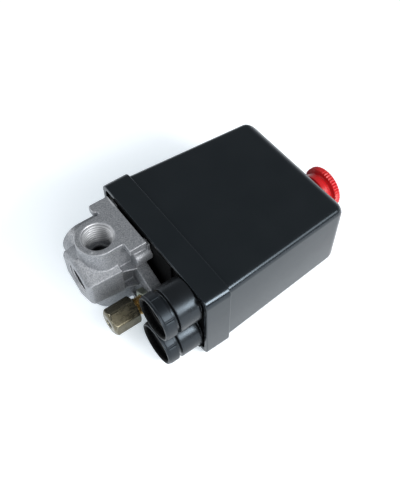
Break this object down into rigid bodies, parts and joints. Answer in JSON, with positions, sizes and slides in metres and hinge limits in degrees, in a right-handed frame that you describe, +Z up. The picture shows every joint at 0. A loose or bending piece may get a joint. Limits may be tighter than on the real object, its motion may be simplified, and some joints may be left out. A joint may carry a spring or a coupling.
{
  "type": "pressure switch",
  "caption": "Four-port air compressor pressure switch: cast port block, black cover, red pull knob, unloader valve and twin cable glands.",
  "frame": {"origin": "centre of the inlet port's mouth", "axes": "+Y from the inlet port to the knob, +X towards the cable glands, +Z up with the switch lying on its broad back"},
  "size_m": [0.074, 0.116, 0.04],
  "materials": {
    "cover_plastic": "fine moulded satin",
    "frame_plastic": "moulded satin",
    "nut_plastic": "moulded satin",
    "washer_plastic": "moulded satin",
    "knob_red": "glossy moulded",
    "ivory_plastic": "moulded",
    "phenolic": "pressed phenolic",
    "cast_metal": "die-cast, slightly rough",
    "zinc_steel": "zinc plated",
    "screw_steel": "zinc plated",
    "bright_steel": "ground",
    "spring_steel": "drawn wire",
    "green_screw": "lacquered",
    "yellow_brass": "turned",
    "aged_brass": "turned, dulled",
    "plated_nut": "plated",
    "copper": "copper strip",
    "rubber_black": "moulded"
  },
  "bodies": {
    "housing": {"cover": "cover_plastic", "cover_screw": "screw_steel", "cover_post": "screw_steel", "base_frame": "frame_plastic", "manifold": "cast_metal", "manifold_screws": "screw_steel", "diaphragm": "rubber_black", "mechanism_bracket": "zinc_steel", "lever_pin": "bright_steel", "pin_clips": "bright_steel", "range_spring": "spring_steel", "differential_spring": "spring_steel", "valve_spring": "spring_steel", "contact_block": "phenolic", "fixed_contacts": "yellow_brass", "terminal_screws": "screw_steel", "earth_screw": "green_screw", "unloader_body": "yellow_brass", "unloader_locknut": "plated_nut", "gland_seal_upper": "rubber_black", "gland_seal_lower": "rubber_black"},
    "knob": {"knob": "knob_red", "knob_stem": "bright_steel", "stem_clip": "spring_steel", "off_latch": "ivory_plastic"},
    "lever": {"lever": "zinc_steel"},
    "piston": {"diaphragm_piston": "zinc_steel"},
    "valve_pin": {"valve_pin": "bright_steel"},
    "contact_carrier": {"contact_carrier": "ivory_plastic", "contact_bridges": "copper", "contact_springs": "spring_steel"},
    "range_screw": {"range_screw": "screw_steel"},
    "range_seat": {"range_seat": "yellow_brass"},
    "differential_screw": {"differential_screw": "screw_steel"},
    "differential_seat": {"differential_seat": "yellow_brass"},
    "ferrule": {"ferrule": "yellow_brass"},
    "compression_nut": {"compression_nut": "aged_brass"},
    "gland_washer_upper": {"gland_washer_upper": "washer_plastic"},
    "gland_nut_upper": {"gland_nut_upper": "nut_plastic"},
    "gland_washer_lower": {"gland_washer_lower": "washer_plastic"},
    "gland_nut_lower": {"gland_nut_lower": "nut_plastic"}
  },
  "joints": [
    {"name": "knob_pull", "type": "slide", "parent": "housing", "child": "knob", "axis": [0, 1, 0], "range_m": [-0.004, 0]},
    {"name": "lever_pivot", "type": "hinge", "parent": "housing", "child": "lever", "pos_m": [0.01, 0.04, 0], "axis": [0, 0, -1], "range_deg": [0, 5], "stiffness_Nm_per_rad": 0.2, "springref_deg": -5.73, "deforming": ["range_spring", "differential_spring", "valve_spring"]},
    {"name": "piston_lift", "type": "slide", "parent": "housing", "child": "piston", "axis": [0, 1, 0], "range_m": [0, 0.001]},
    {"name": "valve_pin_stroke", "type": "slide", "parent": "housing", "child": "valve_pin", "axis": [0, 1, 0], "range_m": [-0.001, 0]},
    {"name": "contact_stroke", "type": "slide", "parent": "housing", "child": "contact_carrier", "axis": [0, 1, 0], "range_m": [-0.0024, 0]},
    {"name": "range_seat_travel", "type": "slide", "parent": "housing", "child": "range_seat", "axis": [0, 1, 0], "range_m": [-0.002, 0.002]},
    {"name": "range_screw_turn", "type": "hinge", "parent": "housing", "child": "range_screw", "pos_m": [0, 0.071, 0], "axis": [0, 1, 0], "range_deg": [-725, 725]},
    {"name": "differential_seat_travel", "type": "slide", "parent": "housing", "child": "differential_seat", "axis": [0, 1, 0], "range_m": [-0.0016, 0.0016]},
    {"name": "differential_screw_turn", "type": "hinge", "parent": "housing", "child": "differential_screw", "pos_m": [0.017, 0.071, 0.008], "axis": [0, 1, 0], "range_deg": [-725, 725]},
    {"name": "ferrule_travel", "type": "slide", "parent": "housing", "child": "ferrule", "axis": [0, 1, 0], "range_m": [-0.001, 0.001]},
    {"name": "compression_nut_turn", "type": "hinge", "parent": "ferrule", "child": "compression_nut", "pos_m": [0.0202, 0.0015, -0.0098], "axis": [0, 1, 0], "range_deg": [-363, 363]},
    {"name": "gland_washer_upper_travel", "type": "slide", "parent": "housing", "child": "gland_washer_upper", "axis": [0, 1, 0], "range_m": [-0.00075, 0.00104]},
    {"name": "gland_nut_upper_turn", "type": "hinge", "parent": "gland_washer_upper", "child": "gland_nut_upper", "pos_m": [0.0392, 0.0119, 0.0101], "axis": [0, 1, 0], "range_deg": [-182, 252]},
    {"name": "gland_washer_lower_travel", "type": "slide", "parent": "housing", "child": "gland_washer_lower", "axis": [0, 1, 0], "range_m": [-0.00075, 0.00104]},
    {"name": "gland_nut_lower_turn", "type": "hinge", "parent": "gland_washer_lower", "child": "gland_nut_lower", "pos_m": [0.0392, 0.0119, -0.0101], "axis": [0, 1, 0], "range_deg": [-182, 252]}
  ],
  "couplings": [
    {"joint": "piston_lift", "follows": "lever_pivot", "m_per_rad": 0.01},
    {"joint": "valve_pin_stroke", "follows": "lever_pivot", "m_per_rad": -0.0102},
    {"joint": "contact_stroke", "follows": "lever_pivot", "m_per_rad": -0.0262},
    {"joint": "range_screw_turn", "follows": "range_seat_travel", "rad_per_m": 6283.2},
    {"joint": "differential_screw_turn", "follows": "differential_seat_travel", "rad_per_m": 7854},
    {"joint": "compression_nut_turn", "follows": "ferrule_travel", "rad_per_m": 6283.2},
    {"joint": "gland_nut_upper_turn", "follows": "gland_washer_upper_travel", "rad_per_m": 4188.8},
    {"joint": "gland_nut_lower_turn", "follows": "gland_washer_lower_travel", "rad_per_m": 4188.8}
  ]
}
